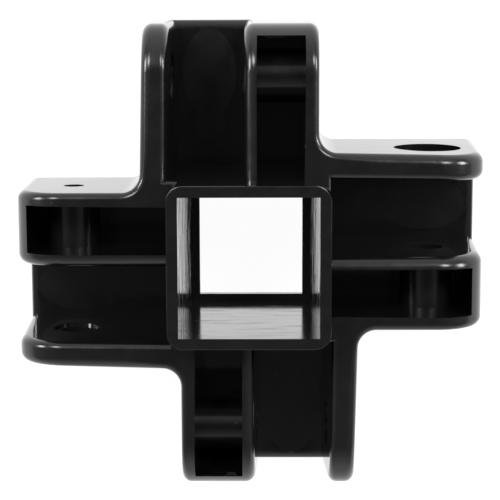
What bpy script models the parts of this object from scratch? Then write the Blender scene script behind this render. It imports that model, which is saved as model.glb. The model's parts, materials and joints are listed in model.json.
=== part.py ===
"""Four-way tent frame connector, the roof hub of a folding canopy, moulded in one piece.

The mast stands in the square sleeve. Each of the four arms holds the end of a truss bar in an open
channel, on a cross bolt that runs from the arm's ear into a boss in the box pocket beside the channel.
The hub lies on its back: the sleeve's axis is Z, and all hollows open towards +Z.
"""
import math

import bmesh
import bpy
from mathutils import Matrix

# Square sleeve for the mast, measured at its rim
SLEEVE_OPENING = 0.0300
SLEEVE_WALL = 0.0025
SLEEVE_CORNER_RADIUS = 0.0035
RIM_RISE = 0.0090
RIM_EDGE_RADIUS = 0.0004
MAST_STOP_OPENING = 0.0246
MAST_STOP_THICKNESS = 0.0025

# One arm, measured on the front plane of the arms, from the ear's outer face across to the pocket's side
ARM_COUNT = 4
ARM_REACH = 0.0509
ARM_DEPTH = 0.0345
EAR_OFFSET = 0.02365
EAR_THICKNESS = 0.0055
CHANNEL_WIDTH = 0.0172
MIDDLE_WALL = 0.0026
POCKET_WIDTH = 0.0103
SIDE_WALL = 0.0031
END_WALL = 0.0022
BACK_WALL = 0.0028

# Mould draft on the faces along Z, on the pocket's outer face and on the arms' ends, the slope of the
# ear's outer face towards its tip, which fades out towards the back, and the widening of the pocket on
# its outer side towards the arm's end
DRAFT = math.radians(1.45)
SIDE_DRAFT = math.radians(0.85)
END_DRAFT = math.radians(2.6)
EAR_TAPER = math.radians(1.35)
POCKET_FLARE = math.radians(0.6)

# Rounded forms
END_PROFILE_RADIUS = 0.0100
ROOT_RADIUS = 0.0040
EDGE_RADIUS = 0.0014
EAR_TIP_RADIUS = 0.0022
POCKET_TIP_RADIUS = 0.0018
MIDDLE_EDGE_RADIUS = 0.0019
CHANNEL_END_RADIUS = 0.0008
FLOOR_EDGE_RADIUS = 0.0016
BACK_EDGE_RADIUS = 0.0010

# Cross bolt: a head recess in the ear, a clear hole through ear and middle wall, a pilot hole in the boss
BOLT_FROM_END = 0.0112
BOLT_DEPTH = 0.0160
BOLT_HOLE = 0.0066
HEAD_RECESS = 0.0150
HEAD_RECESS_DEPTH = 0.0032
PIVOT_RING = 0.0102
PIVOT_RING_DEPTH = 0.0004
BOSS_WIDTH = 0.0120
BOSS_COUNTERBORE = 0.0076
BOSS_COUNTERBORE_DEPTH = 0.0018
PILOT_HOLE = 0.0046

# Shallow oval and round marks of the mould on each channel's floor
OVAL_FROM_END = 0.0110
OVAL_LENGTH = 0.0214
OVAL_WIDTH = 0.0138
OVAL_DEPTH = 0.0003
EJECTOR_FROM_END = 0.0229
EJECTOR_DIAMETER = 0.0090
EJECTOR_DEPTH = 0.0005

# Faces on arcs, how far a cutter runs past the material or a joined piece runs into it, and how far a
# channel reaches into the sleeve's wall before the sleeve is joined
PROFILE_STEPS = 8
ROOT_STEPS = 5
EDGE_STEPS = 3
CORNER_STEPS = 5
RIM_STEPS = 2
ROUND_STEPS = 28
OVERRUN = 0.0010
SLEEVE_OVERLAP = 0.0001

# Distance within which places are the same, and the angles between faces from which a region isn't
# flat, an edge looks sharp and an edge gets a fillet
SAME_PLACE = 0.000001
FLAT_ANGLE = math.radians(0.05)
SHARP_ANGLE = math.radians(32)
FILLET_ANGLE = math.radians(40)

COLOUR = (0.0090, 0.0090, 0.0094, 1.0)
ROUGHNESS = 0.08

# Places that follow from the sizes
FRONT = ARM_DEPTH
RIM = FRONT + RIM_RISE
FLOOR = BACK_WALL
EAR_OUT = -EAR_OFFSET
EAR_IN = EAR_OUT + EAR_THICKNESS
MIDDLE_IN = EAR_IN + CHANNEL_WIDTH
MIDDLE_OUT = MIDDLE_IN + MIDDLE_WALL
SIDE_IN = MIDDLE_OUT + POCKET_WIDTH
SIDE_OUT = SIDE_IN + SIDE_WALL
SLEEVE_OUT = SLEEVE_OPENING / 2 + SLEEVE_WALL
BOLT_REACH = ARM_REACH - BOLT_FROM_END
BOLT_LEVEL = FRONT - BOLT_DEPTH


def lean(depth):
    """How far a drafted face has moved, at a depth below the plane on which it is measured."""
    return math.tan(DRAFT) * depth


def square_hollow(width):
    """Outline of a square hollow round the sleeve's axis, which narrows with depth."""
    def outline(depth):
        half = width / 2 - lean(depth)
        return [(-half, -half), (half, -half), (half, half), (-half, half)]
    return outline


def pinwheel(depth):
    """Outline of the four arms, each with its ear's side further from the middle than its pocket's."""
    ear = EAR_OFFSET + lean(depth)
    side = SIDE_OUT + math.tan(SIDE_DRAFT) * depth
    reach = ARM_REACH + math.tan(END_DRAFT) * depth
    ear_end = ear - math.tan(EAR_TAPER) * (reach - side) * (1 - depth / ARM_DEPTH)
    points = []
    for turn in range(ARM_COUNT):
        sine = math.sin(-2 * math.pi * turn / ARM_COUNT)
        cosine = math.cos(-2 * math.pi * turn / ARM_COUNT)
        for x, y in ((-ear, side), (-ear_end, reach), (side, reach)):
            points.append((x * cosine - y * sine, x * sine + y * cosine))
    return points[::-1]


def rounded_square(depth):
    """Outline of the sleeve's outside, with an arc at each corner."""
    half = SLEEVE_OUT + lean(depth)
    middle = SLEEVE_OUT - SLEEVE_CORNER_RADIUS
    radius = half - middle
    points = []
    for corner in range(4):
        start = corner * math.pi / 2
        centre_x = middle * (1 if corner in (0, 3) else -1)
        centre_y = middle * (1 if corner in (0, 1) else -1)
        for step in range(CORNER_STEPS + 1):
            angle = start + step / CORNER_STEPS * math.pi / 2
            points.append((centre_x + radius * math.cos(angle), centre_y + radius * math.sin(angle)))
    return points


def new_object(name, form, collection):
    """Object made from a bmesh, which is freed."""
    mesh = bpy.data.meshes.new(name)
    form.to_mesh(mesh)
    form.free()
    made = bpy.data.objects.new(name, mesh)
    collection.objects.link(made)
    return made


def loft(first, second):
    """Closed solid between two rings with the same number of points."""
    form = bmesh.new()
    rings = [[form.verts.new(point) for point in ring] for ring in (first, second)]
    form.faces.new(rings[0][::-1])
    form.faces.new(rings[1])
    count = len(first)
    for start in range(count):
        after = (start + 1) % count
        form.faces.new((rings[0][start], rings[0][after], rings[1][after], rings[1][start]))
    bmesh.ops.recalc_face_normals(form, faces=form.faces)
    return form


def drafted_prism(outline, back, front, reference):
    """Solid between two levels, whose outline follows from the depth below the reference level."""
    return loft([(x, y, back) for x, y in outline(reference - back)],
                [(x, y, front) for x, y in outline(reference - front)])


def crosswise_prism(profile, left, right):
    """Solid across the first arm, from a profile of reaches and levels and the place of both its sides."""
    return loft([(left(reach, level), reach, level) for reach, level in profile],
                [(right(reach, level), reach, level) for reach, level in profile])


def round_edges(form, edges, radius, steps):
    """Give all the given edges the same fillet."""
    bmesh.ops.bevel(form, geom=edges, offset=radius, offset_type="OFFSET", segments=steps, profile=0.5,
                    affect="EDGES", clamp_overlap=True)


def is_upright(edge):
    """Whether an edge runs from back to front."""
    run = edge.verts[1].co - edge.verts[0].co
    return abs(run.z) > 0.9 * run.length


def arms_block(collection):
    """The four arms as one drafted block, with filleted roots and rounded front ends."""
    form = drafted_prism(pinwheel, 0.0, FRONT, FRONT)
    roots = [edge for edge in form.edges if is_upright(edge) and not edge.is_convex]
    round_edges(form, roots, ROOT_RADIUS, ROOT_STEPS)
    ends = []
    for edge in form.edges:
        on_front = all(abs(vert.co.z - FRONT) < SAME_PLACE for vert in edge.verts)
        at_end = all(max(abs(vert.co.x), abs(vert.co.y)) > ARM_REACH - SAME_PLACE for vert in edge.verts)
        if on_front and at_end:
            ends.append(edge)
    round_edges(form, ends, END_PROFILE_RADIUS, PROFILE_STEPS)
    return new_object("connector_body", form, collection)


def turned_about_z(made, turn):
    """Turn an object to the arm with the given number, clockwise from the first."""
    made.matrix_world = Matrix.Rotation(-2 * math.pi * turn / ARM_COUNT, 4, "Z") @ made.matrix_world
    return made


def combine(body, tool, operation):
    """Add a Boolean modifier to the body."""
    modifier = body.modifiers.new(operation.lower(), "BOOLEAN")
    modifier.operation = operation
    modifier.solver = "EXACT"
    modifier.object = tool
    tool.hide_render = True
    tool.display_type = "WIRE"


def apply_modifiers(body):
    """Replace the body's mesh by its evaluated one, with flat regions as single faces."""
    bpy.context.view_layer.update()
    graph = bpy.context.evaluated_depsgraph_get()
    mesh = bpy.data.meshes.new_from_object(body.evaluated_get(graph))
    body.modifiers.clear()
    body.data = mesh
    form = bmesh.new()
    form.from_mesh(mesh)
    bmesh.ops.remove_doubles(form, verts=form.verts, dist=SAME_PLACE)
    bmesh.ops.dissolve_limit(form, angle_limit=FLAT_ANGLE, verts=form.verts, edges=form.edges)
    form.to_mesh(mesh)
    form.free()


def cut_channels(body, cutters):
    """Open each arm's channel to the front and to the arm's end."""
    near = SLEEVE_OUT - SLEEVE_OVERLAP
    far = ARM_REACH + END_PROFILE_RADIUS
    top = FRONT + OVERRUN
    profile = [(near + lean(RIM - top), top), (near + lean(RIM - FLOOR), FLOOR), (far, FLOOR), (far, top)]
    for turn in range(ARM_COUNT):
        form = crosswise_prism(profile, lambda reach, level: EAR_IN + lean(FRONT - level),
                               lambda reach, level: MIDDLE_IN - lean(FRONT - level))
        cutter = turned_about_z(new_object(f"channel_{turn}", form, cutters), turn)
        combine(body, cutter, "DIFFERENCE")
    apply_modifiers(body)


def arm_frame(point):
    """Place of a point in the frame of the arm it belongs to: across the arm, and outward along it."""
    places = []
    for turn in range(ARM_COUNT):
        turned = Matrix.Rotation(2 * math.pi * turn / ARM_COUNT, 3, "Z") @ point
        places.append((turned.y - abs(turned.x - (EAR_IN + MIDDLE_IN) / 2), turned.x, turned.y))
    return max(places)[1:]


def edge_radius(edge):
    """Fillet radius of an edge of the arms; it grows over the rounded ends of ears and pockets."""
    middle = (edge.verts[0].co + edge.verts[1].co) / 2
    across, reach = arm_frame(middle)
    flat = abs(edge.verts[0].co.z - edge.verts[1].co.z) < SAME_PLACE
    if middle.z < SAME_PLACE:
        return BACK_EDGE_RADIUS
    if flat and middle.z < FLOOR + OVERRUN:
        return FLOOR_EDGE_RADIUS
    at_middle_wall = (EAR_IN + MIDDLE_IN) / 2 < across < MIDDLE_OUT
    if flat and reach < SLEEVE_OUT + OVERRUN and EAR_IN < across < MIDDLE_IN:
        return CHANNEL_END_RADIUS
    along_front = MIDDLE_EDGE_RADIUS if at_middle_wall else EDGE_RADIUS
    if reach < ARM_REACH - END_PROFILE_RADIUS - OVERRUN:
        return along_front
    at_tip = EAR_TIP_RADIUS if across < EAR_IN + 2 * OVERRUN else POCKET_TIP_RADIUS
    turn = min(1.0, (FRONT - middle.z) / END_PROFILE_RADIUS)
    return along_front + (at_tip - along_front) * turn


def round_arm_edges(body):
    """Fillet the outer edges of ears and pockets, each with its own radius."""
    form = bmesh.new()
    form.from_mesh(body.data)
    largest = max(EDGE_RADIUS, EAR_TIP_RADIUS, POCKET_TIP_RADIUS, MIDDLE_EDGE_RADIUS)
    weight = form.edges.layers.float.new("bevel_weight_edge")
    for edge in form.edges:
        if edge.is_convex and edge.calc_face_angle(0.0) > FILLET_ANGLE:
            edge[weight] = edge_radius(edge) / largest
    form.to_mesh(body.data)
    form.free()
    modifier = body.modifiers.new("fillets", "BEVEL")
    modifier.limit_method = "WEIGHT"
    modifier.offset_type = "OFFSET"
    modifier.width = largest
    modifier.segments = EDGE_STEPS
    modifier.use_clamp_overlap = False
    apply_modifiers(body)


def add_sleeve(body, cutters):
    """Join the mast sleeve, and bore it down to the stop that the mast's end rests on."""
    form = drafted_prism(rounded_square, BACK_WALL / 2, RIM, RIM)
    rim = [edge for edge in form.edges if all(abs(vert.co.z - RIM) < SAME_PLACE for vert in edge.verts)]
    round_edges(form, rim, RIM_EDGE_RADIUS, RIM_STEPS)
    combine(body, new_object("sleeve", form, cutters), "UNION")
    bore = drafted_prism(square_hollow(SLEEVE_OPENING), MAST_STOP_THICKNESS, RIM + OVERRUN, RIM)
    combine(body, new_object("mast_bore", bore, cutters), "DIFFERENCE")
    outlet = bmesh.new()
    bmesh.ops.create_cube(outlet, size=1.0, matrix=Matrix.Diagonal(
        (MAST_STOP_OPENING, MAST_STOP_OPENING, 2 * (MAST_STOP_THICKNESS + OVERRUN), 1.0)))
    combine(body, new_object("mast_outlet", outlet, cutters), "DIFFERENCE")


def pocket_side(reach, level):
    """Place across the arm of the pocket's outer side."""
    return SIDE_IN + math.tan(POCKET_FLARE) * (reach - SLEEVE_OUT) - lean(FRONT - level)


def cut_pockets(body, cutters):
    """Hollow out the box beside each channel; the sleeve closes its inner end."""
    near = SLEEVE_OPENING / 2
    far = ARM_REACH - END_WALL
    top = FRONT + OVERRUN
    profile = [(near, top), (near, FLOOR), (far - lean(FRONT - FLOOR), FLOOR), (far + lean(OVERRUN), top)]
    for turn in range(ARM_COUNT):
        form = crosswise_prism(profile, lambda reach, level: MIDDLE_OUT + lean(FRONT - level), pocket_side)
        cutter = turned_about_z(new_object(f"pocket_{turn}", form, cutters), turn)
        combine(body, cutter, "DIFFERENCE")
    apply_modifiers(body)


def bolt_line(made):
    """Lay an object made around Z along the first arm's bolt, with its +Z pointing across the arm."""
    place = Matrix.Translation((0.0, BOLT_REACH, BOLT_LEVEL))
    made.matrix_world = place @ Matrix.Rotation(math.pi / 2, 4, "Y")
    return made


def add_bosses(body, cutters):
    """Carry each bolt's end in a boss across the pocket: a round top on a block from the floor."""
    start = MIDDLE_OUT - MIDDLE_WALL / 2
    end = SIDE_IN + SIDE_WALL / 2
    radius = BOSS_WIDTH / 2
    foot = radius + lean(BOLT_LEVEL - FLOOR / 2)
    profile = [(BOLT_REACH - foot, FLOOR / 2), (BOLT_REACH + foot, FLOOR / 2)]
    half_turn = ROUND_STEPS // 2
    for step in range(half_turn + 1):
        angle = step / half_turn * math.pi
        profile.append((BOLT_REACH + radius * math.cos(angle), BOLT_LEVEL + radius * math.sin(angle)))
    for turn in range(ARM_COUNT):
        form = crosswise_prism(profile, lambda reach, level: start, lambda reach, level: end)
        boss = turned_about_z(new_object(f"boss_{turn}", form, cutters), turn)
        combine(body, boss, "UNION")


def turned_cutter(name, profile, collection):
    """Solid of revolution about Z from a list of radii and levels, from the top down."""
    form = bmesh.new()
    points = [form.verts.new((radius, 0.0, level)) for radius, level in profile]
    for upper, lower in zip(points, points[1:]):
        form.edges.new((upper, lower))
    made = new_object(name, form, collection)
    screw = made.modifiers.new("turn", "SCREW")
    screw.angle = 2 * math.pi
    screw.steps = ROUND_STEPS
    screw.render_steps = ROUND_STEPS
    screw.use_merge_vertices = True
    screw.merge_threshold = 0.00001
    bpy.context.view_layer.update()
    graph = bpy.context.evaluated_depsgraph_get()
    mesh = bpy.data.meshes.new_from_object(made.evaluated_get(graph))
    made.modifiers.clear()
    made.data = mesh
    return made


def bolt_hole_profile():
    """Radii of the bolt's holes across the arm, from beyond the pocket's side to outside the ear."""
    slant = lean(BOLT_DEPTH)
    taper = math.tan(EAR_TAPER) * (1 - BOLT_DEPTH / ARM_DEPTH)
    ear_face = EAR_OUT - slant + taper * (BOLT_REACH - SIDE_OUT)
    recess_end = ear_face + HEAD_RECESS_DEPTH
    ring_start = EAR_IN + slant - PIVOT_RING_DEPTH
    channel_middle = (EAR_IN + MIDDLE_IN) / 2
    counterbore_end = MIDDLE_OUT + BOSS_COUNTERBORE_DEPTH - MIDDLE_WALL
    outside = SIDE_OUT + OVERRUN + slant
    beyond_ear = EAR_OUT - slant - OVERRUN
    return [(0.0, outside), (PILOT_HOLE / 2, outside),
            (PILOT_HOLE / 2, counterbore_end), (BOSS_COUNTERBORE / 2, counterbore_end),
            (BOSS_COUNTERBORE / 2, channel_middle), (PIVOT_RING / 2, channel_middle),
            (PIVOT_RING / 2, ring_start), (BOLT_HOLE / 2, ring_start),
            (BOLT_HOLE / 2, recess_end), (HEAD_RECESS / 2, recess_end),
            (HEAD_RECESS / 2, beyond_ear), (0.0, beyond_ear)]


def cut_bolt_holes(body, cutters):
    """Bore each arm from the ear's side through the channel and the boss."""
    for turn in range(ARM_COUNT):
        cutter = bolt_line(turned_cutter(f"bolt_hole_{turn}", bolt_hole_profile(), cutters))
        combine(body, turned_about_z(cutter, turn), "DIFFERENCE")


def cut_floor_marks(body, cutters):
    """Sink a shallow oval and a slightly deeper round mark into each channel's floor."""
    marks = (("oval", OVAL_FROM_END, OVAL_WIDTH, OVAL_LENGTH, OVAL_DEPTH),
             ("ejector_mark", EJECTOR_FROM_END, EJECTOR_DIAMETER, EJECTOR_DIAMETER, EJECTOR_DEPTH))
    for turn in range(ARM_COUNT):
        for name, from_end, width, length, depth in marks:
            form = bmesh.new()
            shape = Matrix.Translation(((EAR_IN + MIDDLE_IN) / 2, ARM_REACH - from_end, FLOOR))
            shape = shape @ Matrix.Diagonal((width, length, 2 * depth, 1.0))
            bmesh.ops.create_cone(form, cap_ends=True, segments=ROUND_STEPS, radius1=0.5, radius2=0.5,
                                  depth=1.0, matrix=shape)
            cutter = turned_about_z(new_object(f"{name}_{turn}", form, cutters), turn)
            combine(body, cutter, "DIFFERENCE")


def black_plastic():
    """Glossy black moulded nylon."""
    material = bpy.data.materials.new("black_nylon")
    material.use_nodes = True
    shader = material.node_tree.nodes["Principled BSDF"]
    shader.inputs["Base Color"].default_value = COLOUR
    shader.inputs["Roughness"].default_value = ROUGHNESS
    shader.inputs["Metallic"].default_value = 0.0
    return material


def build():
    """Model the connector in an empty scene."""
    for existing in list(bpy.data.objects):
        bpy.data.objects.remove(existing)
    part = bpy.data.collections.new("tent_frame_connector")
    cutters = bpy.data.collections.new("cutters")
    bpy.context.scene.collection.children.link(part)
    bpy.context.scene.collection.children.link(cutters)
    body = arms_block(part)
    cut_channels(body, cutters)
    round_arm_edges(body)
    cut_pockets(body, cutters)
    add_sleeve(body, cutters)
    add_bosses(body, cutters)
    cut_bolt_holes(body, cutters)
    cut_floor_marks(body, cutters)
    apply_modifiers(body)
    body.data.materials.clear()
    body.data.materials.append(black_plastic())
    body.data.shade_smooth()
    body.data.set_sharp_from_angle(angle=SHARP_ANGLE)


build()
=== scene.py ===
"""Studio scene of the four-way tent frame connector.

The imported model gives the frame. The hub is shown by a finer mesh of the same solid, made with the same
operations and more faces on each arc, and with the small moulding details that the solid leaves out.
"""

import json
import math

import bmesh
import bpy
from mathutils import Matrix, Vector

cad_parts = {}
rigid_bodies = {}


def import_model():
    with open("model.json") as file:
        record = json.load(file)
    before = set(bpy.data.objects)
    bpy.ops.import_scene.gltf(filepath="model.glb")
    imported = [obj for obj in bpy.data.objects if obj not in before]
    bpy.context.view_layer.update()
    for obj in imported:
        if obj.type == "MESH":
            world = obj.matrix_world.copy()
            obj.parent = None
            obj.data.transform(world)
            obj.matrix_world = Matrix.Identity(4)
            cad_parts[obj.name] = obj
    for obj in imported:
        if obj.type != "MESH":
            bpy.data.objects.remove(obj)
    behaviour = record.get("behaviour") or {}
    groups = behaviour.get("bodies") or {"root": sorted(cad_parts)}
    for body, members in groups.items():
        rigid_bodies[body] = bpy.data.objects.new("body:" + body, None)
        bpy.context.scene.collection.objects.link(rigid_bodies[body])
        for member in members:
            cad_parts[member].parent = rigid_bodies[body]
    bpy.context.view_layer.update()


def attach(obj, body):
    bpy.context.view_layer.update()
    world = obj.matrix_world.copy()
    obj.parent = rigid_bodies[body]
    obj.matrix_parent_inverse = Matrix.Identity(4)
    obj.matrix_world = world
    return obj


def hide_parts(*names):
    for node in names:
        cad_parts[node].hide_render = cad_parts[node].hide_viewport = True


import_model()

# Square sleeve for the mast, measured at its rim
SLEEVE_OPENING = 0.0300
SLEEVE_WALL = 0.0025
SLEEVE_CORNER_RADIUS = 0.0035
RIM_RISE = 0.0090
RIM_EDGE_RADIUS = 0.0004
MAST_STOP_OPENING = 0.0243
MAST_STOP_THICKNESS = 0.0025

# One arm, measured on the front plane of the arms, from the ear's outer face across to the pocket's side
ARM_COUNT = 4
ARM_REACH = 0.0509
ARM_DEPTH = 0.0345
EAR_OFFSET = 0.02365
EAR_THICKNESS = 0.0055
CHANNEL_WIDTH = 0.0172
MIDDLE_WALL = 0.0026
POCKET_WIDTH = 0.0103
SIDE_WALL = 0.0031
END_WALL = 0.0022
BACK_WALL = 0.0028

# Mould draft on the faces along Z, on the pocket's outer face and on the arms' ends, the slope of the
# ear's outer face towards its tip, which fades out towards the back, and the widening of the pocket on
# its outer side towards the arm's end
DRAFT = math.radians(1.45)
SIDE_DRAFT = math.radians(0.85)
END_DRAFT = math.radians(2.6)
EAR_TAPER = math.radians(1.35)
POCKET_FLARE = math.radians(0.6)

# How far the ear's inner face stands into the channel at the sleeve, and its slope further outward
EAR_SWELL = 0.0002
EAR_SPREAD = 0.012

# Rounded forms
END_PROFILE_RADIUS = 0.0100
ROOT_RADIUS = 0.0040
EDGE_RADIUS = 0.0014
EAR_EDGE_RADIUS = 0.0021
EAR_EDGE_GROWTH = 0.0080
EAR_TIP_RADIUS = 0.0022
POCKET_TIP_RADIUS = 0.0022
MIDDLE_EDGE_RADIUS = 0.0025
CHANNEL_END_RADIUS = 0.0008
FLOOR_EDGE_RADIUS = 0.0016
BACK_EDGE_RADIUS = 0.0010

# Cross bolt: a head recess in the ear, a clear hole through ear and middle wall, a pilot hole in the boss
BOLT_FROM_END = 0.0112
BOLT_DEPTH = 0.0160
BOLT_HOLE = 0.0066
HEAD_RECESS = 0.0150
HEAD_RECESS_DEPTH = 0.0032
PIVOT_RING = 0.0102
PIVOT_RING_DEPTH = 0.0004
BOSS_WIDTH = 0.0120
BOSS_COUNTERBORE = 0.0076
BOSS_COUNTERBORE_DEPTH = 0.0018
PILOT_HOLE = 0.0046

# Shallow oval and round marks of the mould on each channel's floor
OVAL_FROM_END = 0.0106
OVAL_LENGTH = 0.0226
OVAL_WIDTH = 0.0138
OVAL_DEPTH = 0.0002
EJECTOR_FROM_END = 0.0229
EJECTOR_DIAMETER = 0.0090
EJECTOR_DEPTH = 0.0003
MARK_SLOPE = 0.0007

# Faces on arcs, how far a cutter runs past the material or a joined piece runs into it, and how far a
# channel reaches into the sleeve's wall before the sleeve is joined
PROFILE_STEPS = 24
ROOT_STEPS = 12
EDGE_STEPS = 7
CORNER_STEPS = 12
RIM_STEPS = 2
ROUND_STEPS = 72
OVERRUN = 0.0010
SLEEVE_OVERLAP = 0.0001

# Distance within which places are the same, and the angles between faces from which a region isn't
# flat, an edge looks sharp and an edge gets a fillet
SAME_PLACE = 0.000001
FLAT_ANGLE = math.radians(0.05)
SHARP_ANGLE = math.radians(32)
FILLET_ANGLE = math.radians(40)

# Places that follow from the sizes
FRONT = ARM_DEPTH
RIM = FRONT + RIM_RISE
FLOOR = BACK_WALL
EAR_OUT = -EAR_OFFSET
EAR_IN = EAR_OUT + EAR_THICKNESS
MIDDLE_IN = EAR_IN + CHANNEL_WIDTH
MIDDLE_OUT = MIDDLE_IN + MIDDLE_WALL
SIDE_IN = MIDDLE_OUT + POCKET_WIDTH
SIDE_OUT = SIDE_IN + SIDE_WALL
SLEEVE_OUT = SLEEVE_OPENING / 2 + SLEEVE_WALL
BOLT_REACH = ARM_REACH - BOLT_FROM_END
BOLT_LEVEL = FRONT - BOLT_DEPTH


def lean(depth):
    """How far a drafted face has moved, at a depth below the plane on which it is measured."""
    return math.tan(DRAFT) * depth


def square_hollow(width):
    """Outline of a square hollow round the sleeve's axis, which narrows with depth."""
    def outline(depth):
        half = width / 2 - lean(depth)
        return [(-half, -half), (half, -half), (half, half), (-half, half)]
    return outline


def pinwheel(depth):
    """Outline of the four arms, each with its ear's side further from the middle than its pocket's."""
    ear = EAR_OFFSET + lean(depth)
    side = SIDE_OUT + math.tan(SIDE_DRAFT) * depth
    reach = ARM_REACH + math.tan(END_DRAFT) * depth
    ear_end = ear - math.tan(EAR_TAPER) * (reach - side) * (1 - depth / ARM_DEPTH)
    points = []
    for turn in range(ARM_COUNT):
        sine = math.sin(-2 * math.pi * turn / ARM_COUNT)
        cosine = math.cos(-2 * math.pi * turn / ARM_COUNT)
        for x, y in ((-ear, side), (-ear_end, reach), (side, reach)):
            points.append((x * cosine - y * sine, x * sine + y * cosine))
    return points[::-1]


def rounded_square(depth):
    """Outline of the sleeve's outside, with an arc at each corner."""
    half = SLEEVE_OUT + lean(depth)
    middle = SLEEVE_OUT - SLEEVE_CORNER_RADIUS
    radius = half - middle
    points = []
    for corner in range(4):
        start = corner * math.pi / 2
        centre_x = middle * (1 if corner in (0, 3) else -1)
        centre_y = middle * (1 if corner in (0, 1) else -1)
        for step in range(CORNER_STEPS + 1):
            angle = start + step / CORNER_STEPS * math.pi / 2
            points.append((centre_x + radius * math.cos(angle), centre_y + radius * math.sin(angle)))
    return points


def new_object(name, form, collection):
    """Object made from a bmesh, which is freed."""
    mesh = bpy.data.meshes.new(name)
    form.to_mesh(mesh)
    form.free()
    made = bpy.data.objects.new(name, mesh)
    collection.objects.link(made)
    return made


def loft(first, second):
    """Closed solid between two rings with the same number of points."""
    form = bmesh.new()
    rings = [[form.verts.new(point) for point in ring] for ring in (first, second)]
    form.faces.new(rings[0][::-1])
    form.faces.new(rings[1])
    count = len(first)
    for start in range(count):
        after = (start + 1) % count
        form.faces.new((rings[0][start], rings[0][after], rings[1][after], rings[1][start]))
    bmesh.ops.recalc_face_normals(form, faces=form.faces)
    return form


def drafted_prism(outline, back, front, reference):
    """Solid between two levels, whose outline follows from the depth below the reference level."""
    return loft([(x, y, back) for x, y in outline(reference - back)],
                [(x, y, front) for x, y in outline(reference - front)])


def crosswise_prism(profile, left, right):
    """Solid across the first arm, from a profile of reaches and levels and the place of both its sides."""
    return loft([(left(reach, level), reach, level) for reach, level in profile],
                [(right(reach, level), reach, level) for reach, level in profile])


def round_edges(form, edges, radius, steps):
    """Give all the given edges the same fillet."""
    bmesh.ops.bevel(form, geom=edges, offset=radius, offset_type="OFFSET", segments=steps, profile=0.5,
                    affect="EDGES", clamp_overlap=True)


def is_upright(edge):
    """Whether an edge runs from back to front."""
    run = edge.verts[1].co - edge.verts[0].co
    return abs(run.z) > 0.9 * run.length


def arms_block(collection):
    """The four arms as one drafted block, with filleted roots and rounded front ends."""
    form = drafted_prism(pinwheel, 0.0, FRONT, FRONT)
    roots = [edge for edge in form.edges if is_upright(edge) and not edge.is_convex]
    round_edges(form, roots, ROOT_RADIUS, ROOT_STEPS)
    ends = []
    for edge in form.edges:
        on_front = all(abs(vert.co.z - FRONT) < SAME_PLACE for vert in edge.verts)
        at_end = all(max(abs(vert.co.x), abs(vert.co.y)) > ARM_REACH - SAME_PLACE for vert in edge.verts)
        if on_front and at_end:
            ends.append(edge)
    round_edges(form, ends, END_PROFILE_RADIUS, PROFILE_STEPS)
    return new_object("connector_body", form, collection)


def turned_about_z(made, turn):
    """Turn an object to the arm with the given number, clockwise from the first."""
    made.matrix_world = Matrix.Rotation(-2 * math.pi * turn / ARM_COUNT, 4, "Z") @ made.matrix_world
    return made


def combine(body, tool, operation):
    """Add a Boolean modifier to the body."""
    modifier = body.modifiers.new(operation.lower(), "BOOLEAN")
    modifier.operation = operation
    modifier.solver = "EXACT"
    modifier.object = tool
    tool.hide_render = True
    tool.display_type = "WIRE"


def apply_modifiers(body):
    """Replace the body's mesh by its evaluated one, with flat regions as single faces."""
    bpy.context.view_layer.update()
    graph = bpy.context.evaluated_depsgraph_get()
    mesh = bpy.data.meshes.new_from_object(body.evaluated_get(graph))
    body.modifiers.clear()
    body.data = mesh
    form = bmesh.new()
    form.from_mesh(mesh)
    bmesh.ops.remove_doubles(form, verts=form.verts, dist=SAME_PLACE)
    bmesh.ops.dissolve_limit(form, angle_limit=FLAT_ANGLE, verts=form.verts, edges=form.edges)
    form.to_mesh(mesh)
    form.free()


def ear_inside(reach, level):
    """Place of the ear's face in the channel, which stands in a little further towards the arm's end."""
    return EAR_IN + EAR_SWELL + EAR_SPREAD * (reach - SLEEVE_OUT) + lean(FRONT - level)


def cut_channels(body, cutters):
    """Open each arm's channel to the front and to the arm's end."""
    near = SLEEVE_OUT - SLEEVE_OVERLAP
    far = ARM_REACH + END_PROFILE_RADIUS
    top = FRONT + OVERRUN
    profile = [(near + lean(RIM - top), top), (near + lean(RIM - FLOOR), FLOOR), (far, FLOOR), (far, top)]
    for turn in range(ARM_COUNT):
        form = crosswise_prism(profile, ear_inside, lambda reach, level: MIDDLE_IN - lean(FRONT - level))
        cutter = turned_about_z(new_object(f"channel_{turn}", form, cutters), turn)
        combine(body, cutter, "DIFFERENCE")
    apply_modifiers(body)


def arm_frame(point):
    """Place of a point in the frame of the arm it belongs to: across the arm, and outward along it."""
    places = []
    for turn in range(ARM_COUNT):
        turned = Matrix.Rotation(2 * math.pi * turn / ARM_COUNT, 3, "Z") @ point
        places.append((turned.y - abs(turned.x - (EAR_IN + MIDDLE_IN) / 2), turned.x, turned.y))
    return max(places)[1:]


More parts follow.
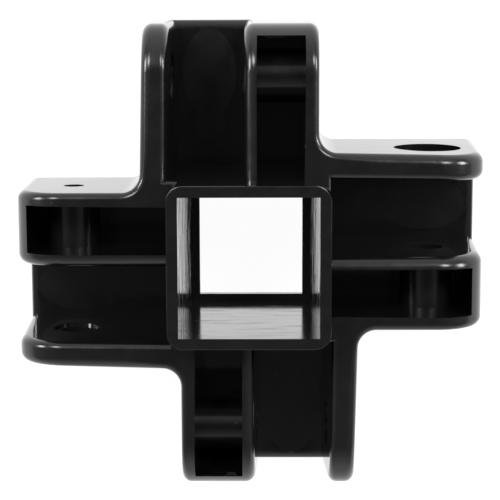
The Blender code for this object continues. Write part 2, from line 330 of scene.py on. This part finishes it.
def edge_radius(edge):
    """Fillet radius of an edge of the arms; it grows over the rounded ends of ears and pockets."""
    middle = (edge.verts[0].co + edge.verts[1].co) / 2
    across, reach = arm_frame(middle)
    flat = abs(edge.verts[0].co.z - edge.verts[1].co.z) < SAME_PLACE
    if middle.z < SAME_PLACE:
        return BACK_EDGE_RADIUS
    if flat and middle.z < FLOOR + OVERRUN:
        return FLOOR_EDGE_RADIUS
    at_middle_wall = (EAR_IN + MIDDLE_IN) / 2 < across < MIDDLE_OUT
    if flat and reach < SLEEVE_OUT + OVERRUN and EAR_IN < across < MIDDLE_IN:
        return CHANNEL_END_RADIUS
    along_front = MIDDLE_EDGE_RADIUS if at_middle_wall else EDGE_RADIUS
    if across < EAR_OUT + 2 * OVERRUN:
        grown = min(1.0, max(0.0, (reach - EAR_OFFSET) / EAR_EDGE_GROWTH))
        along_front += (EAR_EDGE_RADIUS - EDGE_RADIUS) * grown
    if reach < ARM_REACH - END_PROFILE_RADIUS - OVERRUN:
        return along_front
    at_tip = EAR_TIP_RADIUS if across < EAR_IN + 2 * OVERRUN else POCKET_TIP_RADIUS
    turn = min(1.0, (FRONT - middle.z) / END_PROFILE_RADIUS)
    return along_front + (at_tip - along_front) * turn


def round_arm_edges(body):
    """Fillet the outer edges of ears and pockets, each with its own radius."""
    form = bmesh.new()
    form.from_mesh(body.data)
    largest = max(EDGE_RADIUS, EAR_TIP_RADIUS, POCKET_TIP_RADIUS, MIDDLE_EDGE_RADIUS)
    weight = form.edges.layers.float.new("bevel_weight_edge")
    for edge in form.edges:
        if edge.is_convex and edge.calc_face_angle(0.0) > FILLET_ANGLE:
            edge[weight] = edge_radius(edge) / largest
    form.to_mesh(body.data)
    form.free()
    modifier = body.modifiers.new("fillets", "BEVEL")
    modifier.limit_method = "WEIGHT"
    modifier.offset_type = "OFFSET"
    modifier.width = largest
    modifier.segments = EDGE_STEPS
    modifier.use_clamp_overlap = False
    apply_modifiers(body)


def add_sleeve(body, cutters):
    """Join the mast sleeve, and bore it down to the stop that the mast's end rests on."""
    form = drafted_prism(rounded_square, BACK_WALL / 2, RIM, RIM)
    rim = [edge for edge in form.edges if all(abs(vert.co.z - RIM) < SAME_PLACE for vert in edge.verts)]
    round_edges(form, rim, RIM_EDGE_RADIUS, RIM_STEPS)
    combine(body, new_object("sleeve", form, cutters), "UNION")
    bore = drafted_prism(square_hollow(SLEEVE_OPENING), MAST_STOP_THICKNESS, RIM + OVERRUN, RIM)
    combine(body, new_object("mast_bore", bore, cutters), "DIFFERENCE")
    outlet = bmesh.new()
    bmesh.ops.create_cube(outlet, size=1.0, matrix=Matrix.Diagonal(
        (MAST_STOP_OPENING, MAST_STOP_OPENING, 2 * (MAST_STOP_THICKNESS + OVERRUN), 1.0)))
    combine(body, new_object("mast_outlet", outlet, cutters), "DIFFERENCE")


def pocket_side(reach, level):
    """Place across the arm of the pocket's outer side."""
    return SIDE_IN + math.tan(POCKET_FLARE) * (reach - SLEEVE_OUT) - lean(FRONT - level)


def cut_pockets(body, cutters):
    """Hollow out the box beside each channel; the sleeve closes its inner end."""
    near = SLEEVE_OPENING / 2
    far = ARM_REACH - END_WALL
    top = FRONT + OVERRUN
    profile = [(near, top), (near, FLOOR), (far - lean(FRONT - FLOOR), FLOOR), (far + lean(OVERRUN), top)]
    for turn in range(ARM_COUNT):
        form = crosswise_prism(profile, lambda reach, level: MIDDLE_OUT + lean(FRONT - level), pocket_side)
        cutter = turned_about_z(new_object(f"pocket_{turn}", form, cutters), turn)
        combine(body, cutter, "DIFFERENCE")
    apply_modifiers(body)


def bolt_line(made):
    """Lay an object made around Z along the first arm's bolt, with its +Z pointing across the arm."""
    place = Matrix.Translation((0.0, BOLT_REACH, BOLT_LEVEL))
    made.matrix_world = place @ Matrix.Rotation(math.pi / 2, 4, "Y")
    return made


def add_bosses(body, cutters):
    """Carry each bolt's end in a boss across the pocket: a round top on a block from the floor."""
    start = MIDDLE_OUT - MIDDLE_WALL / 2
    end = SIDE_IN + SIDE_WALL / 2
    radius = BOSS_WIDTH / 2
    foot = radius + lean(BOLT_LEVEL - FLOOR / 2)
    profile = [(BOLT_REACH - foot, FLOOR / 2), (BOLT_REACH + foot, FLOOR / 2)]
    half_turn = ROUND_STEPS // 2
    for step in range(half_turn + 1):
        angle = step / half_turn * math.pi
        profile.append((BOLT_REACH + radius * math.cos(angle), BOLT_LEVEL + radius * math.sin(angle)))
    for turn in range(ARM_COUNT):
        form = crosswise_prism(profile, lambda reach, level: start, lambda reach, level: end)
        boss = turned_about_z(new_object(f"boss_{turn}", form, cutters), turn)
        combine(body, boss, "UNION")


def turned_cutter(name, profile, collection):
    """Solid of revolution about Z from a list of radii and levels, from the top down."""
    form = bmesh.new()
    points = [form.verts.new((radius, 0.0, level)) for radius, level in profile]
    for upper, lower in zip(points, points[1:]):
        form.edges.new((upper, lower))
    made = new_object(name, form, collection)
    screw = made.modifiers.new("turn", "SCREW")
    screw.angle = 2 * math.pi
    screw.steps = ROUND_STEPS
    screw.render_steps = ROUND_STEPS
    screw.use_merge_vertices = True
    screw.merge_threshold = 0.00001
    bpy.context.view_layer.update()
    graph = bpy.context.evaluated_depsgraph_get()
    mesh = bpy.data.meshes.new_from_object(made.evaluated_get(graph))
    made.modifiers.clear()
    made.data = mesh
    return made


def bolt_hole_profile():
    """Radii of the bolt's holes across the arm, from beyond the pocket's side to outside the ear."""
    slant = lean(BOLT_DEPTH)
    taper = math.tan(EAR_TAPER) * (1 - BOLT_DEPTH / ARM_DEPTH)
    ear_face = EAR_OUT - slant + taper * (BOLT_REACH - SIDE_OUT)
    recess_end = ear_face + HEAD_RECESS_DEPTH
    ring_start = ear_inside(BOLT_REACH, BOLT_LEVEL) - PIVOT_RING_DEPTH
    channel_middle = (EAR_IN + MIDDLE_IN) / 2
    counterbore_end = MIDDLE_OUT + BOSS_COUNTERBORE_DEPTH - MIDDLE_WALL
    outside = SIDE_OUT + OVERRUN + slant
    beyond_ear = EAR_OUT - slant - OVERRUN
    return [(0.0, outside), (PILOT_HOLE / 2, outside),
            (PILOT_HOLE / 2, counterbore_end), (BOSS_COUNTERBORE / 2, counterbore_end),
            (BOSS_COUNTERBORE / 2, channel_middle), (PIVOT_RING / 2, channel_middle),
            (PIVOT_RING / 2, ring_start), (BOLT_HOLE / 2, ring_start),
            (BOLT_HOLE / 2, recess_end), (HEAD_RECESS / 2, recess_end),
            (HEAD_RECESS / 2, beyond_ear), (0.0, beyond_ear)]


def cut_bolt_holes(body, cutters):
    """Bore each arm from the ear's side through the channel and the boss."""
    for turn in range(ARM_COUNT):
        cutter = bolt_line(turned_cutter(f"bolt_hole_{turn}", bolt_hole_profile(), cutters))
        combine(body, turned_about_z(cutter, turn), "DIFFERENCE")


def cut_floor_marks(body, cutters):
    """Sink a shallow oval and a slightly deeper round mark into each channel's floor."""
    marks = (("oval", OVAL_FROM_END, OVAL_WIDTH, OVAL_LENGTH, OVAL_DEPTH),
             ("ejector_mark", EJECTOR_FROM_END, EJECTOR_DIAMETER, EJECTOR_DIAMETER, EJECTOR_DEPTH))
    for turn in range(ARM_COUNT):
        for name, from_end, width, length, depth in marks:
            form = bmesh.new()
            shape = Matrix.Translation(((EAR_IN + MIDDLE_IN) / 2, ARM_REACH - from_end, FLOOR))
            shape = shape @ Matrix.Diagonal((width, length, 2 * depth, 1.0))
            slope = MARK_SLOPE / width
            bmesh.ops.create_cone(form, cap_ends=True, segments=ROUND_STEPS, radius1=0.5 - slope,
                                  radius2=0.5 + slope, depth=1.0, matrix=shape)
            cutter = turned_about_z(new_object(f"{name}_{turn}", form, cutters), turn)
            combine(body, cutter, "DIFFERENCE")


# Towards its end each channel's floor falls away in a flat curve, and the upper edge of its rounded end is
# moved outward, arm by arm: north, west, south, east
EASE_LENGTH = 0.0038
EASE_DROP = 0.0001
EASE_STEPS = 8
FLOOR_END_SHIFT = (-0.00012, 0.00012, 0.00055, 0.00022)

# Least Z of a normal that counts as straight up, and how strongly the floor marks' lighter, duller faces show
FACING_UP = 0.999
MARK_LOOK = 0.8

# Ragged flash on the end walls of two pockets, seen from the front: places across the arm as shares of the
# pocket's width, from the middle wall, and how far it stands in from the wall
FLASH_THICKNESS = 0.0003
FLASH_SINK = 0.0004
FLASH_LAP = 0.0003
FLASH_NORTH = ((0.04, 0.0), (0.13, 0.00005), (0.16, 0.00045), (0.30, 0.00065), (0.42, 0.00050),
               (0.55, 0.00058), (0.68, 0.00030), (0.80, 0.00036), (0.84, 0.00008), (0.97, 0.0))
FLASH_SOUTH = ((0.05, 0.0), (0.12, 0.00020), (0.16, 0.00085), (0.24, 0.00095), (0.34, 0.00080),
               (0.38, 0.00015), (0.60, 0.00008), (0.80, 0.00022), (0.95, 0.0))

# Plastic: refraction, its darker and lighter tone, and how far a floor mark goes towards the lighter one
PLASTIC_IOR = 1.52
DARK_TONE = (0.0045, 0.0045, 0.0048, 1.0)
LIGHT_TONE = (0.0070, 0.0070, 0.0073, 1.0)
MARK_TONE = 0.45

# Where the looks of the plastic change over: normals' Z from wall to floor, levels from floor to front, and
# distances off the axis from inside to outside the sleeve
UPWARD_BAND = (0.15, 0.6)
FRONT_BAND = (0.016, 0.028)
SLEEVE_BAND = (0.0156, 0.0162)

# Roughness of floors with little and with much smear, what the arms' fronts and the floor marks add to it,
# roughness of walls, and what scuffs add to it, first everywhere and then also on the sleeve's sides
FLOOR_ROUGHNESS = (0.09, 0.14)
FRONT_ROUGHNESS = 0.12
MARK_ROUGHNESS = 0.14
WALL_ROUGHNESS = 0.10
SCUFF_ROUGHNESS = 0.20
SIDE_SCUFF_ROUGHNESS = 0.35

# Clear coat: its share on walls, what the sleeve's inside adds, what scuffs take off, and its roughness
WALL_COAT = 0.35
SLEEVE_COAT = 0.65
SCUFF_COAT = 0.5
COAT_ROUGHNESS = 0.12

# Noise as scale, detail and roughness, and its height: waves, grain, smears, and drag marks, which are
# stretched along X and Y
WAVE_NOISE = (95.0, 2.0, 0.45)
WAVE_HEIGHT = 0.00007
GRAIN_NOISE = (2100.0, 3.0, 0.6)
GRAIN_HEIGHT = 0.000003
SMEAR_NOISE = (260.0, 4.0, 0.6)
SMEAR_BAND = (0.3, 0.7)
DRAG_NOISE = (380.0, 5.0, 0.62)
DRAG_STRETCH = (0.2, 0.2, 1.0)
DRAG_BAND = (0.45, 0.75)
DRAG_HEIGHT = 0.00004

# Dust: one cell in five holds a speck; sizes are shares of a cell
DUST_TONE = (0.16, 0.16, 0.155, 1.0)
DUST_SCALE = 330.0
DUST_FROM = 0.80
DUST_SIZE = 0.055
DUST_EDGE = 0.022
DUST_ROUGHNESS = 0.7
DUST_HEIGHT = 0.00003

# Camera, fitted to the photograph's edges
CAMERA_PLACE = (0.004169, 0.047401, 0.356962)
CAMERA_AXES = ((0.999923, 0.001468, 0.012337),
               (-0.003146, 0.990552, 0.137099),
               (-0.012019, -0.137128, 0.99048))
CAMERA_LENS = 108.66
CAMERA_NEAR = 0.01

# White floor: half its width, its place below the hub, its brightness in plain light, its glow for the eye,
# and the brightness that is seen with that
FLOOR_HALF_WIDTH = 3.0
FLOOR_GAP = 0.0002
FLOOR_WHITE = 0.8
FLOOR_GLOW = 0.96
FLOOR_SEEN = 0.15

# Plain light of the room, and the room as the gloss mirrors it, dark overhead, dim at both sides and bright
# along Y: brightness by how far a direction leans along Y, and along X; both ends come first
WORLD_LIGHT = 0.26
ROOM_BRIGHTNESS = ((0.0, 0.045), (1.0, 1.05), (0.10, 0.07), (0.25, 0.15), (0.45, 0.27), (0.63, 0.46),
                   (0.76, 0.70), (0.86, 0.92), (0.95, 1.02))
SIDE_BRIGHTNESS = ((0.0, 0.045), (1.0, 0.32), (0.20, 0.07), (0.45, 0.21), (0.80, 0.28))

# Softboxes, two on each side: their distance from the hub, and the direction, width, height and power of each
BOX_DISTANCE = 0.9
UPPER_BOX = ((0.40, 0.46, 0.79), 0.25, 0.25, 3.4)
LOWER_BOX = ((0.88, 0.28, 0.42), 0.30, 0.20, 4.4)


def grey(brightness):
    """Opaque colour without a tint."""
    return (brightness, brightness, brightness, 1.0)


def put(tree, value, socket):
    """Link an output to a socket, or set the socket to a number or colour."""
    if isinstance(value, bpy.types.NodeSocket):
        tree.links.new(value, socket)
    else:
        socket.default_value = value


def calculate(tree, operation, *values):
    """Result of a math node."""
    node = tree.nodes.new("ShaderNodeMath")
    node.operation = operation
    for value, socket in zip(values, node.inputs):
        put(tree, value, socket)
    return node.outputs[0]


def blend(tree, kind, share, first, second):
    """Mix of two numbers (FLOAT) or colours (RGBA)."""
    node = tree.nodes.new("ShaderNodeMix")
    node.data_type = kind
    for name, value in (("Factor", share), ("A", first), ("B", second)):
        put(tree, value, node.inputs[name])
    return node.outputs["Result"]


def band(tree, value, limits, results):
    """Smooth change from one result to the other while a value goes from one limit to the other."""
    node = tree.nodes.new("ShaderNodeMapRange")
    node.interpolation_type = "SMOOTHSTEP"
    for name, number in zip(("From Min", "From Max", "To Min", "To Max"), limits + results):
        node.inputs[name].default_value = number
    tree.links.new(value, node.inputs["Value"])
    return node.outputs[0]


def split_vector(tree, vector):
    """X, Y and Z of a vector."""
    node = tree.nodes.new("ShaderNodeSeparateXYZ")
    tree.links.new(vector, node.inputs[0])
    return node.outputs


def noise(tree, place, scale, detail, roughness):
    """Noise from 0 to 1 at a place."""
    node = tree.nodes.new("ShaderNodeTexNoise")
    for name, value in (("Scale", scale), ("Detail", detail), ("Roughness", roughness)):
        node.inputs[name].default_value = value
    tree.links.new(place, node.inputs["Vector"])
    return node.outputs["Fac"]


def dust(tree, place):
    """1 in the few specks of dust and 0 around them."""
    cells = tree.nodes.new("ShaderNodeTexVoronoi")
    cells.inputs["Scale"].default_value = DUST_SCALE
    tree.links.new(place, cells.inputs["Vector"])
    chance = tree.nodes.new("ShaderNodeSeparateColor")
    tree.links.new(cells.outputs["Color"], chance.inputs["Color"])
    size = band(tree, chance.outputs["Red"], (DUST_FROM, 1.0), (0.0, DUST_SIZE))
    inside = calculate(tree, "SUBTRACT", size, cells.outputs["Distance"])
    return band(tree, inside, (0.0, DUST_EDGE), (0.0, 1.0))


def stack_bumps(tree, layers):
    """Normal of bumps that lie on one another, each with its pattern and its height."""
    normal = None
    for pattern, height in layers:
        node = tree.nodes.new("ShaderNodeBump")
        node.inputs["Strength"].default_value = 1.0
        node.inputs["Distance"].default_value = height
        tree.links.new(pattern, node.inputs["Height"])
        if normal is not None:
            tree.links.new(normal, node.inputs["Normal"])
        normal = node.outputs["Normal"]
    return normal


def glossy_plastic():
    """Black plastic with a moulded gloss: satin fronts, slightly wavy faces with a fine grain, scuffs inside
    the sleeve, and a few specks of dust."""
    material = bpy.data.materials.new("glossy_black_plastic")
    material.use_nodes = True
    tree = material.node_tree
    shader = tree.nodes["Principled BSDF"]
    shader.inputs["IOR"].default_value = PLASTIC_IOR
    shader.inputs["Coat Roughness"].default_value = COAT_ROUGHNESS
    coordinates = tree.nodes.new("ShaderNodeTexCoord")
    place = coordinates.outputs["Object"]
    spot = split_vector(tree, place)
    facing = split_vector(tree, coordinates.outputs["Normal"])
    stretched = tree.nodes.new("ShaderNodeMapping")
    stretched.inputs["Scale"].default_value = DRAG_STRETCH
    tree.links.new(place, stretched.inputs["Vector"])

    smear = noise(tree, place, *SMEAR_NOISE)
    streak = noise(tree, stretched.outputs["Vector"], *DRAG_NOISE)
    speck = dust(tree, place)
    on_floor = band(tree, facing["Z"], UPWARD_BAND, (0.0, 1.0))
    on_wall = calculate(tree, "SUBTRACT", 1.0, on_floor)
    at_front = band(tree, spot["Z"], FRONT_BAND, (0.0, 1.0))
    off_axis = calculate(tree, "MAXIMUM", calculate(tree, "ABSOLUTE", spot["X"]),
                         calculate(tree, "ABSOLUTE", spot["Y"]))
    in_sleeve = band(tree, off_axis, SLEEVE_BAND, (1.0, 0.0))
    sleeve_side = calculate(tree, "MULTIPLY", in_sleeve, calculate(tree, "ABSOLUTE", facing["X"]))
    scuff = calculate(tree, "MULTIPLY", in_sleeve, band(tree, streak, DRAG_BAND, (0.0, 1.0)))
    attribute = tree.nodes.new("ShaderNodeAttribute")
    attribute.attribute_name = "mark"
    mark = attribute.outputs["Fac"]

    lightness = calculate(tree, "MULTIPLY_ADD", mark, MARK_TONE, smear)
    tone = blend(tree, "RGBA", lightness, DARK_TONE, LIGHT_TONE)
    put(tree, blend(tree, "RGBA", speck, tone, DUST_TONE), shader.inputs["Base Color"])

    smeared = band(tree, smear, SMEAR_BAND, FLOOR_ROUGHNESS)
    satin = calculate(tree, "MULTIPLY_ADD", at_front, FRONT_ROUGHNESS, smeared)
    satin = calculate(tree, "MULTIPLY_ADD", mark, MARK_ROUGHNESS, satin)
    scuffed = calculate(tree, "MULTIPLY_ADD", sleeve_side, SIDE_SCUFF_ROUGHNESS, SCUFF_ROUGHNESS)
    polish = calculate(tree, "MULTIPLY_ADD", scuff, scuffed, WALL_ROUGHNESS)
    gloss = blend(tree, "FLOAT", on_floor, polish, satin)
    dusty = calculate(tree, "MULTIPLY", speck, DUST_ROUGHNESS)
    put(tree, calculate(tree, "MAXIMUM", gloss, dusty), shader.inputs["Roughness"])

    coat = calculate(tree, "MULTIPLY_ADD", in_sleeve, SLEEVE_COAT, WALL_COAT)
    coat = calculate(tree, "MULTIPLY_ADD", scuff, -SCUFF_COAT, coat)
    coat = calculate(tree, "MULTIPLY", coat, calculate(tree, "SUBTRACT", 1.0, sleeve_side))
    put(tree, calculate(tree, "MULTIPLY", on_wall, coat), shader.inputs["Coat Weight"])

    wave = noise(tree, place, *WAVE_NOISE)
    grain = noise(tree, place, *GRAIN_NOISE)
    dragged = calculate(tree, "MULTIPLY", streak, calculate(tree, "MULTIPLY", on_wall, in_sleeve))
    normal = stack_bumps(tree, ((wave, WAVE_HEIGHT), (grain, GRAIN_HEIGHT), (dragged, DRAG_HEIGHT),
                                (speck, DUST_HEIGHT)))
    put(tree, normal, shader.inputs["Normal"])
    return material


def is_floor(face):
    """Whether a face is part of a channel's flat floor."""
    return face.normal.z > FACING_UP and all(abs(vert.co.z - FLOOR) < SAME_PLACE for vert in face.verts)


def arm_turn(point):
    """Number of quarter turns, counted to the left, from the north arm to the arm that holds a point."""
    if abs(point.y) > abs(point.x):
        return 0 if point.y > 0 else 2
    return 1 if point.x < 0 else 3


def ease_floors(body):
    """Let each channel's floor fall away towards the arm's end, and move the upper edge of its end."""
    form = bmesh.new()
    form.from_mesh(body.data)
    end = ARM_REACH + math.tan(END_DRAFT) * (FRONT - FLOOR)
    start = end - EASE_LENGTH
    flat_end = end - FLOOR_EDGE_RADIUS
    for step in range(EASE_STEPS):
        reach = start + (flat_end - start) * step / EASE_STEPS
        for axis in (Vector((1, 0, 0)), Vector((0, 1, 0))):
            for side in (1, -1):
                floors = [face for face in form.faces if is_floor(face)]
                parts = dict.fromkeys(floors)
                for face in floors:
                    parts.update(dict.fromkeys([*face.edges, *face.verts]))
                bmesh.ops.bisect_plane(form, geom=list(parts), plane_co=axis * side * reach, plane_no=axis,
                                       dist=SAME_PLACE)
    for vert in form.verts:
        across, reach = arm_frame(vert.co)
        below = FLOOR - vert.co.z
        in_channel = EAR_IN - OVERRUN < across < MIDDLE_IN + OVERRUN
        if in_channel and reach > start and -SAME_PLACE < below < FLOOR_EDGE_RADIUS:
            share = (reach - start) / EASE_LENGTH
            weight = 1 - below / FLOOR_EDGE_RADIUS
            turn = arm_turn(vert.co)
            outward = Matrix.Rotation(turn * math.pi / 2, 3, "Z") @ Vector((0, 1, 0))
            vert.co.z -= EASE_DROP * share ** 2 * weight
            vert.co += outward * FLOOR_END_SHIFT[turn] * min(1.0, share) * weight
    form.to_mesh(body.data)
    form.free()


def tell_marks(body):
    """Note on each face whether it is the bottom of a mark in a channel's floor."""
    body.data.attributes.new("mark", "FLOAT", "FACE")
    for face, mark in zip(body.data.polygons, body.data.attributes["mark"].data):
        sunk = OVAL_DEPTH / 2 < FLOOR - face.center.z < OVERRUN / 2
        mark.value = MARK_LOOK * (face.normal.z > FACING_UP and sunk)


def build_hub(plastic):
    """The hub's finer mesh."""
    pieces = bpy.data.collections.new("tent_frame_connector")
    cutters = bpy.data.collections.new("cutters")
    bpy.context.scene.collection.children.link(pieces)
    bpy.context.scene.collection.children.link(cutters)
    hub = arms_block(pieces)
    hub.name = "hub"
    cut_channels(hub, cutters)
    round_arm_edges(hub)
    ease_floors(hub)
    cut_pockets(hub, cutters)
    add_sleeve(hub, cutters)
    add_bosses(hub, cutters)
    cut_bolt_holes(hub, cutters)
    cut_floor_marks(hub, cutters)
    apply_modifiers(hub)
    for tool in list(cutters.objects):
        bpy.data.objects.remove(tool)
    bpy.data.collections.remove(cutters)
    tell_marks(hub)
    hub.data.materials.clear()
    hub.data.materials.append(plastic)
    hub.data.shade_smooth()
    hub.data.set_sharp_from_angle(angle=SHARP_ANGLE)
    even = hub.modifiers.new("even_shading", "WEIGHTED_NORMAL")
    even.keep_sharp = True
    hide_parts("connector_body")
    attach(hub, "root")


def add_flash(name, turn, outline, plastic):
    """Thin ragged fin of plastic at the front of a pocket's end wall."""
    wall = ARM_REACH - END_WALL
    level = FRONT - END_PROFILE_RADIUS + math.sqrt(
        END_PROFILE_RADIUS ** 2 - (END_PROFILE_RADIUS - END_WALL) ** 2) - FLASH_SINK
    inner = [(MIDDLE_OUT + POCKET_WIDTH * share, wall - length) for share, length in outline]
    outer = [(inner[-1][0], wall + FLASH_LAP), (inner[0][0], wall + FLASH_LAP)]
    ring = inner + outer
    form = loft([(x, y, level - FLASH_THICKNESS) for x, y in ring], [(x, y, level) for x, y in ring])
    flash = turned_about_z(new_object(name, form, bpy.context.scene.collection), turn)
    flash.data.materials.append(plastic)
    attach(flash, "root")


def ray_kind(tree):
    """1 for rays from the camera, and for those that reach the eye by a reflection or through glass."""
    path = tree.nodes.new("ShaderNodeLightPath")
    total = path.outputs["Is Camera Ray"]
    for name in ("Is Glossy Ray", "Is Transmission Ray"):
        total = calculate(tree, "ADD", total, path.outputs[name])
        total.node.use_clamp = True
    return total


def white_floor():
    """White table top under the hub. It glows for the eye and keeps a faint shadow of the hub."""
    form = bmesh.new()
    bmesh.ops.create_grid(form, x_segments=2, y_segments=2, size=FLOOR_HALF_WIDTH)
    floor = new_object("floor", form, bpy.context.scene.collection)
    floor.location.z = -FLOOR_GAP
    material = bpy.data.materials.new("white_floor")
    material.use_nodes = True
    tree = material.node_tree
    tree.nodes.clear()
    matt = tree.nodes.new("ShaderNodeBsdfDiffuse")
    glow = tree.nodes.new("ShaderNodeEmission")
    glow.inputs["Color"].default_value = grey(1.0)
    seen = ray_kind(tree)
    put(tree, blend(tree, "RGBA", seen, grey(FLOOR_WHITE), grey(FLOOR_SEEN)), matt.inputs["Color"])
    put(tree, calculate(tree, "MULTIPLY", seen, FLOOR_GLOW), glow.inputs["Strength"])
    both = tree.nodes.new("ShaderNodeAddShader")
    tree.links.new(matt.outputs[0], both.inputs[0])
    tree.links.new(glow.outputs[0], both.inputs[1])
    out = tree.nodes.new("ShaderNodeOutputMaterial")
    tree.links.new(both.outputs[0], out.inputs["Surface"])
    floor.data.materials.append(material)


def studio_world():
    """White studio: plain light for the object, and in its gloss a bright room that is dim overhead."""
    world = bpy.data.worlds.new("studio")
    bpy.context.scene.world = world
    world.use_nodes = True
    tree = world.node_tree
    tree.nodes.clear()
    coordinates = tree.nodes.new("ShaderNodeTexCoord")
    direction = split_vector(tree, coordinates.outputs["Generated"])
    walls = []
    for axis, steps in (("Y", ROOM_BRIGHTNESS), ("X", SIDE_BRIGHTNESS)):
        ramp = tree.nodes.new("ShaderNodeValToRGB")
        stops = ramp.color_ramp.elements
        for number, (share, brightness) in enumerate(steps):
            stop = stops[number] if number < 2 else stops.new(share)
            stop.color = grey(brightness)
        put(tree, calculate(tree, "ABSOLUTE", direction[axis]), ramp.inputs["Fac"])
        walls.append(ramp.outputs[0])
    room = calculate(tree, "MAXIMUM", *walls)
    path = tree.nodes.new("ShaderNodeLightPath")
    light = blend(tree, "FLOAT", path.outputs["Is Glossy Ray"], WORLD_LIGHT, room)
    back = tree.nodes.new("ShaderNodeBackground")
    back.inputs["Color"].default_value = grey(1.0)
    put(tree, calculate(tree, "MAXIMUM", path.outputs["Is Camera Ray"], light), back.inputs["Strength"])
    out = tree.nodes.new("ShaderNodeOutputWorld")
    tree.links.new(back.outputs[0], out.inputs["Surface"])


def softbox(name, side, direction, width, height, power):
    """Rectangular lamp that faces the hub, on the right for side 1 and on the left for side -1."""
    data = bpy.data.lights.new(name, "AREA")
    data.shape = "RECTANGLE"
    data.size = width
    data.size_y = height
    data.energy = power
    lamp = bpy.data.objects.new(name, data)
    across, along, up = direction
    toward = Vector((side * across, along, up)).normalized()
    lamp.location = toward * BOX_DISTANCE
    lamp.rotation_euler = toward.to_track_quat("Z", "Y").to_euler()
    bpy.context.scene.collection.objects.link(lamp)


def add_camera():
    """Camera at the photograph's viewpoint."""
    data = bpy.data.cameras.new("camera")
    data.lens = CAMERA_LENS
    data.clip_start = CAMERA_NEAR
    camera = bpy.data.objects.new("camera", data)
    camera.matrix_world = Matrix.Translation(CAMERA_PLACE) @ Matrix(CAMERA_AXES).to_4x4()
    bpy.context.scene.collection.objects.link(camera)
    bpy.context.scene.camera = camera


black_plastic = glossy_plastic()
build_hub(black_plastic)
add_flash("pocket_flash_north", 0, FLASH_NORTH, black_plastic)
add_flash("pocket_flash_south", 2, FLASH_SOUTH, black_plastic)
white_floor()
studio_world()
for box_name, box in (("upper", UPPER_BOX), ("lower", LOWER_BOX)):
    softbox(box_name + "_softbox_right", 1, *box)
    softbox(box_name + "_softbox_left", -1, *box)
add_camera()
bpy.context.scene.view_settings.view_transform = "Standard"
